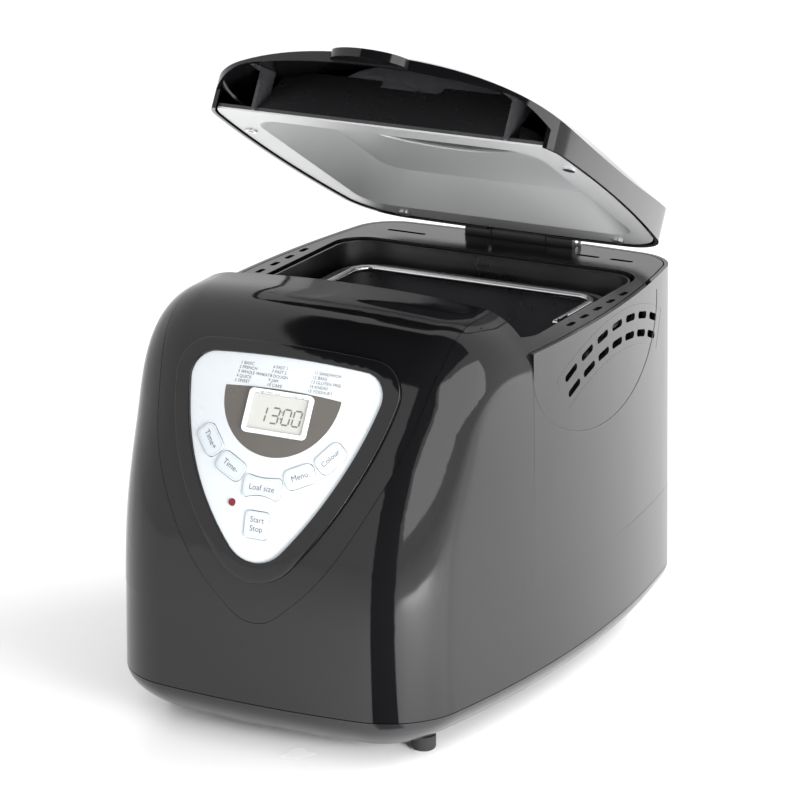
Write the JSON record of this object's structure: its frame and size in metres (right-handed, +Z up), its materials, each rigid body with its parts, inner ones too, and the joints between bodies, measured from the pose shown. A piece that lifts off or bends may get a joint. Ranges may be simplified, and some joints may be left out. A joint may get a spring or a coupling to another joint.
{
  "type": "bread machine",
  "caption": "Free-standing bread machine with a hinged domed lid, window, front control panel, lift-out pan and belt-driven kneading paddle.",
  "frame": {"origin": "centre of the bounding box in plan, on the plane the feet stand on", "axes": "+Z up, +X towards the right seen from the front, +Y towards the back with the hinge; the control panel faces -Y"},
  "size_m": [0.238, 0.3424, 0.3742],
  "materials": {
    "belt_rubber": "ribbed",
    "black_plastic": "fine satin moulded plastic",
    "board_green": "laminate",
    "brass": "machined",
    "bright_steel": "polished",
    "cast_alloy": "die cast",
    "ceramic": "unglazed",
    "chamber_steel": "stainless sheet, lightly heat marked",
    "clear_glass": "clear tempered",
    "dark_plastic": "satin moulded plastic",
    "element_steel": "heat-darkened sheath",
    "gloss_black": "high gloss moulded plastic",
    "grey_mask": "printed dark grey film",
    "key_white": "soft-touch",
    "lcd_back": "moulded",
    "lcd_glass": "pale grey-green liquid crystal",
    "motor_can": "plated can",
    "nylon": "moulded nylon",
    "pan_coating": "dark non-stick coating",
    "red_lens": "translucent red",
    "rubber": "moulded",
    "satin_aluminium": "satin pressed sheet",
    "silver_trim": "satin silver",
    "smoked_glass": "smoked clear plastic",
    "switch_black": "moulded",
    "white_plastic": "smooth semi-gloss",
    "zinc_steel": "zinc plated sheet"
  },
  "bodies": {
    "casing": {"baking_chamber": "chamber_steel", "base_tray": "black_plastic", "case_screws": "bright_steel", "chamber_stands": "zinc_steel", "chassis_plate": "zinc_steel", "control_board": "board_green", "control_panel": "white_plastic", "display_frame": "silver_trim", "display_glass": "lcd_glass", "display_mask": "grey_mask", "display_module": "lcd_back", "drive_belt": "belt_rubber", "element_bushes": "ceramic", "front_fascia": "gloss_black", "heating_element": "element_steel", "hinge_bracket": "black_plastic", "key_switches": "switch_black", "mains_gland": "black_plastic", "motor": "motor_can", "outer_shell": "gloss_black", "pan_socket": "chamber_steel", "panel_bezel": "gloss_black", "power_board": "board_green", "rim_frame": "black_plastic", "rubber_feet": "rubber", "shaft_bush": "brass", "status_lamp": "red_lens", "temperature_probe": "bright_steel"},
    "lid": {"lid_shell": "gloss_black", "lid_window": "smoked_glass", "lid_frame": "dark_plastic", "lid_liner": "satin_aluminium", "window_ring": "black_plastic", "window_glass": "clear_glass", "liner_screws": "bright_steel", "lid_tab": "gloss_black", "hinge_arm": "black_plastic", "hinge_pin": "bright_steel"},
    "pan": {"bread_pan": "pan_coating", "pan_collar": "cast_alloy", "pan_bush": "brass", "handle_lugs": "bright_steel"},
    "handle": {"pan_handle": "bright_steel"},
    "paddle": {"pan_shaft": "bright_steel", "kneading_paddle": "pan_coating"},
    "drive": {"large_pulley": "nylon", "drive_shaft": "bright_steel", "drive_coupling": "cast_alloy"},
    "motor_rotor": {"small_pulley": "cast_alloy", "motor_shaft": "bright_steel"},
    "time_up_key": {"time_up_key": "key_white"},
    "time_down_key": {"time_down_key": "key_white"},
    "loaf_size_key": {"loaf_size_key": "key_white"},
    "menu_key": {"menu_key": "key_white"},
    "crust_key": {"crust_key": "key_white"},
    "start_stop_key": {"start_stop_key": "key_white"}
  },
  "joints": [
    {"name": "lid_hinge", "type": "hinge", "parent": "casing", "child": "lid", "pos_m": [0, 0.1635, 0.2185], "axis": [-1, 0, 0], "range_deg": [-30, 55]},
    {"name": "time_up_key_press", "type": "slide", "parent": "casing", "child": "time_up_key", "axis": [0, 0.8931, -0.4498], "range_m": [0, 0.0005], "stiffness_N_per_m": 400, "springref_m": -0.0002},
    {"name": "time_down_key_press", "type": "slide", "parent": "casing", "child": "time_down_key", "axis": [0, 0.919, -0.3942], "range_m": [0, 0.0005], "stiffness_N_per_m": 400, "springref_m": -0.0002},
    {"name": "loaf_size_key_press", "type": "slide", "parent": "casing", "child": "loaf_size_key", "axis": [0, 0.9355, -0.3532], "range_m": [0, 0.0005], "stiffness_N_per_m": 400, "springref_m": -0.0002},
    {"name": "menu_key_press", "type": "slide", "parent": "casing", "child": "menu_key", "axis": [0, 0.919, -0.3942], "range_m": [0, 0.0005], "stiffness_N_per_m": 400, "springref_m": -0.0002},
    {"name": "crust_key_press", "type": "slide", "parent": "casing", "child": "crust_key", "axis": [0, 0.8931, -0.4498], "range_m": [0, 0.0005], "stiffness_N_per_m": 400, "springref_m": -0.0002},
    {"name": "start_stop_key_press", "type": "slide", "parent": "casing", "child": "start_stop_key", "axis": [0, 0.9663, -0.2573], "range_m": [0, 0.0005], "stiffness_N_per_m": 400, "springref_m": -0.0002},
    {"name": "pan_lift", "type": "slide", "parent": "casing", "child": "pan", "axis": [0, 0, 1], "range_m": [0, 0.03]},
    {"name": "handle_swing", "type": "hinge", "parent": "pan", "child": "handle", "pos_m": [0, 0.0465, 0.2036], "axis": [1, 0, 0], "range_deg": [0, 90]},
    {"name": "drive_spin", "type": "hinge", "parent": "casing", "child": "drive", "pos_m": [0, 0.0465, 0.05], "axis": [0, 0, 1], "continuous": true},
    {"name": "motor_spin", "type": "hinge", "parent": "casing", "child": "motor_rotor", "pos_m": [0, -0.1085, 0.05], "axis": [0, 0, 1], "continuous": true},
    {"name": "paddle_spin", "type": "hinge", "parent": "pan", "child": "paddle", "pos_m": [0, 0.0465, 0.09], "axis": [0, 0, 1], "continuous": true}
  ],
  "couplings": [
    {"joint": "motor_spin", "follows": "drive_spin", "ratio": 4.6667},
    {"joint": "paddle_spin", "follows": "drive_spin", "ratio": 1}
  ]
}
